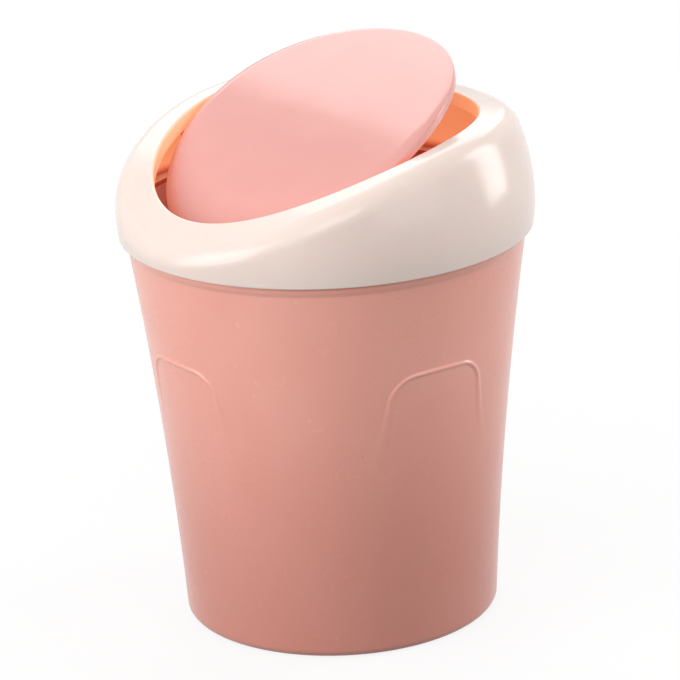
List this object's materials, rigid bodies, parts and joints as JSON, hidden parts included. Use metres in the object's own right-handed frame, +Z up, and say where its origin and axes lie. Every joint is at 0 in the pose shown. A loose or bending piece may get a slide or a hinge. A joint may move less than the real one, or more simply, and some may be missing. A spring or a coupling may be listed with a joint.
{
  "type": "countertop trash can with swing lid",
  "caption": "Small tapered countertop bin with faint raised arches, a lift-off arched lid ring and a round flap that swings on stub pins across its opening.",
  "frame": {"origin": "centre of the foot, on the surface that the bin stands on", "axes": "+Z up along the bin's axis, -Y to the low front of the lid, +X to the right along the flap's pivot axis"},
  "size_m": [0.129, 0.1287, 0.1775],
  "materials": {
    "bin_pink": "satin moulded polypropylene",
    "collar_ivory": "gloss moulded polypropylene",
    "flap_pink": "gloss moulded polypropylene"
  },
  "bodies": {
    "bin": {"bin_body": "bin_pink"},
    "lid": {"lid_collar": "collar_ivory"},
    "flap": {"swing_flap": "flap_pink"}
  },
  "joints": [
    {"name": "lid_lift", "type": "slide", "parent": "bin", "child": "lid", "axis": [0, 0, 1], "range_m": [0, 0.06]},
    {"name": "flap_swing", "type": "hinge", "parent": "lid", "child": "flap", "pos_m": [0, -0.0123, 0.14568], "axis": [1, 0, 0], "range_deg": [-18.4, 32]}
  ]
}
